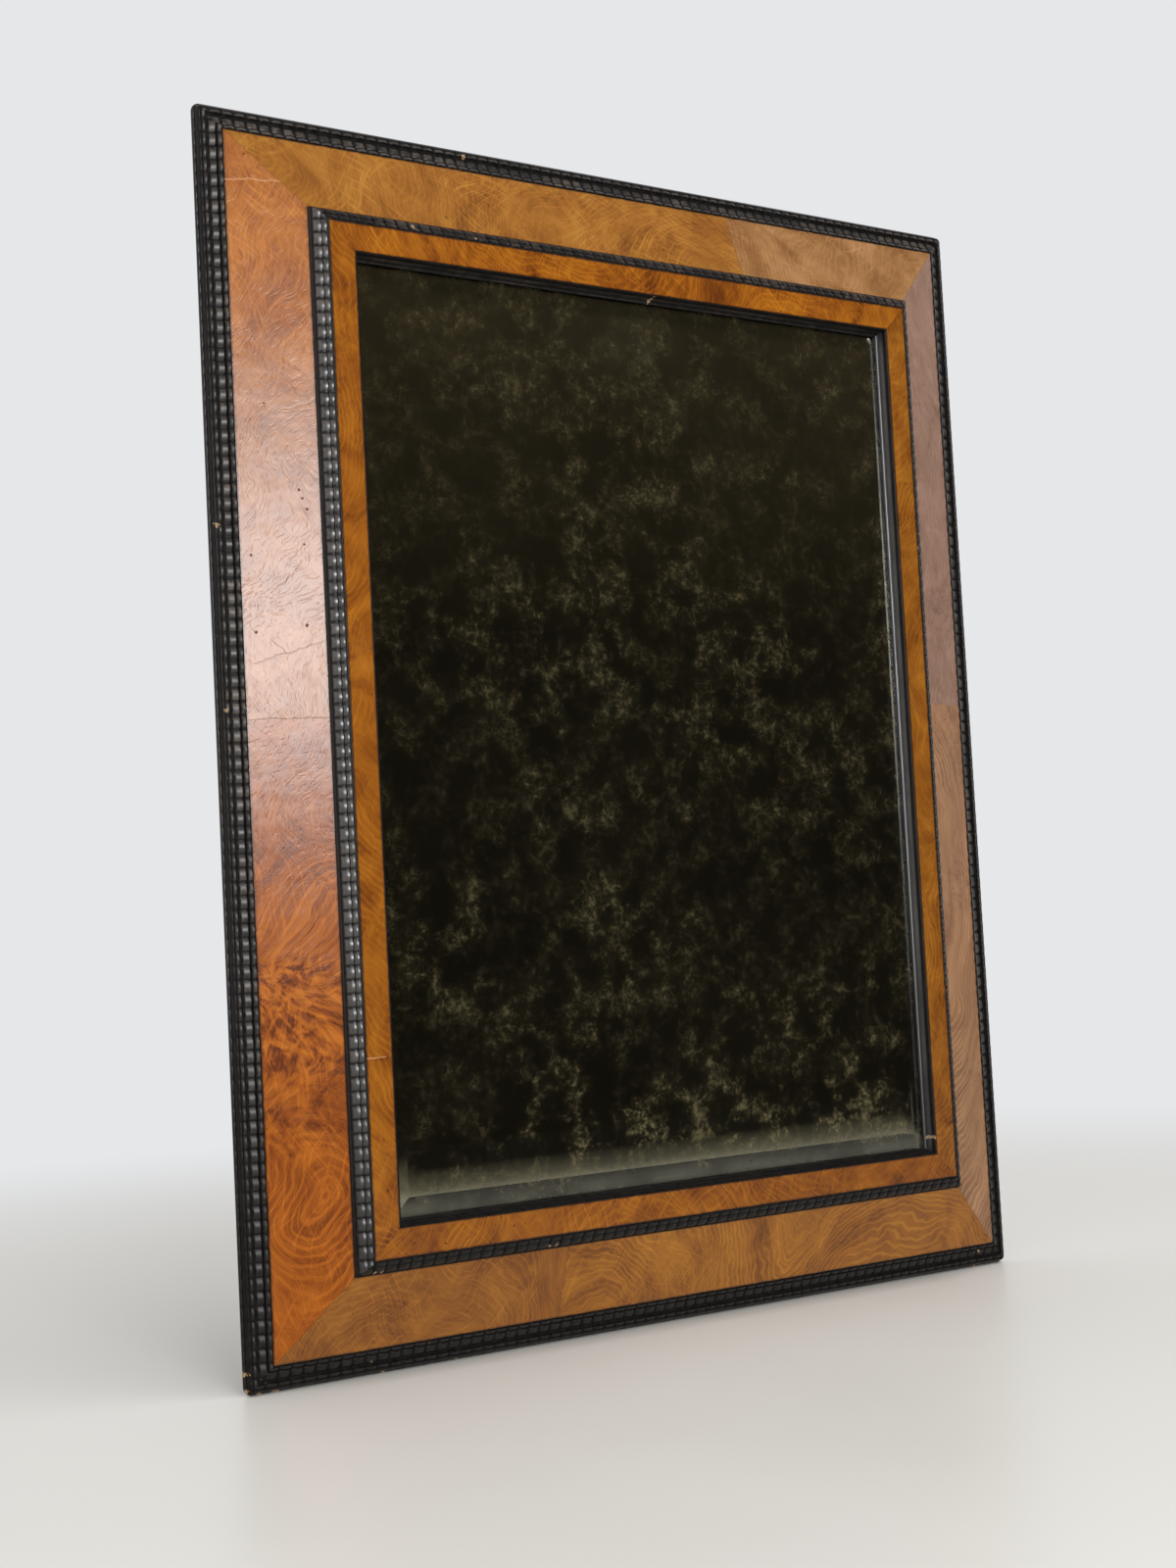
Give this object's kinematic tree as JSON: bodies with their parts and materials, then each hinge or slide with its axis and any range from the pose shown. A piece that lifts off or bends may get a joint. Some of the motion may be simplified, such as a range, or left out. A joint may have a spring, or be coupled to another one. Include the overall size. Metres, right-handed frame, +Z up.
{
  "type": "ripple frame wall mirror",
  "caption": "Rectangular bevelled wall mirror in a wide frame of burl veneer bands and dark rippled mouldings, with a hinged hanging ring behind each stile.",
  "frame": {"origin": "bottom centre of the whole mirror's bounding box", "axes": "+Z up along the height, front and glass towards -Y, wall towards +Y, +X to the viewer's right"},
  "size_m": [0.571, 0.039, 0.72],
  "materials": {
    "burl_veneer": "polished burl",
    "ebonised_wood": "worn black polish",
    "plate_glass": "polished, bevelled",
    "silvering": "aged silvering",
    "pine": "aged, unfinished",
    "board_pine": "aged, unfinished",
    "nail_iron": "dull",
    "hanger_brass": "dull",
    "ring_brass": "dull"
  },
  "bodies": {
    "frame": {"backboard_left": "board_pine", "backboard_middle": "board_pine", "backboard_nails": "nail_iron", "backboard_right": "board_pine", "carcass_rail_bottom": "pine", "carcass_rail_top": "pine", "carcass_stile_left": "pine", "carcass_stile_right": "pine", "corner_feathers": "pine", "glue_blocks": "pine", "hanger_screws": "hanger_brass", "hanger_strap_left": "hanger_brass", "hanger_strap_right": "hanger_brass", "inner_frame_rail_bottom": "pine", "inner_frame_rail_top": "pine", "inner_frame_stile_left": "pine", "inner_frame_stile_right": "pine", "inner_veneer_bottom": "burl_veneer", "inner_veneer_left_lower": "burl_veneer", "inner_veneer_left_upper": "burl_veneer", "inner_veneer_right_lower": "burl_veneer", "inner_veneer_right_upper": "burl_veneer", "inner_veneer_top": "burl_veneer", "mid_moulding_bottom": "ebonised_wood", "mid_moulding_left": "ebonised_wood", "mid_moulding_right": "ebonised_wood", "mid_moulding_top": "ebonised_wood", "mirror_glass": "plate_glass", "outer_moulding_bottom": "ebonised_wood", "outer_moulding_left": "ebonised_wood", "outer_moulding_right": "ebonised_wood", "outer_moulding_top": "ebonised_wood", "sight_edge_bottom": "ebonised_wood", "sight_edge_left": "ebonised_wood", "sight_edge_right": "ebonised_wood", "sight_edge_top": "ebonised_wood", "silvering": "silvering", "wide_veneer_bottom_left": "burl_veneer", "wide_veneer_bottom_right": "burl_veneer", "wide_veneer_left_lower": "burl_veneer", "wide_veneer_left_top": "burl_veneer", "wide_veneer_left_upper": "burl_veneer", "wide_veneer_right_lower": "burl_veneer", "wide_veneer_right_upper": "burl_veneer", "wide_veneer_top_left": "burl_veneer", "wide_veneer_top_right": "burl_veneer"},
    "ring_left": {"hanger_ring_left": "ring_brass"},
    "ring_right": {"hanger_ring_right": "ring_brass"}
  },
  "joints": [
    {"name": "left_ring_swing", "type": "hinge", "parent": "frame", "child": "ring_left", "pos_m": [-0.2435, 0.01673, 0.54], "axis": [1, 0, 0], "range_deg": [0, 180]},
    {"name": "right_ring_swing", "type": "hinge", "parent": "frame", "child": "ring_right", "pos_m": [0.2435, 0.01673, 0.54], "axis": [1, 0, 0], "range_deg": [0, 180]}
  ]
}
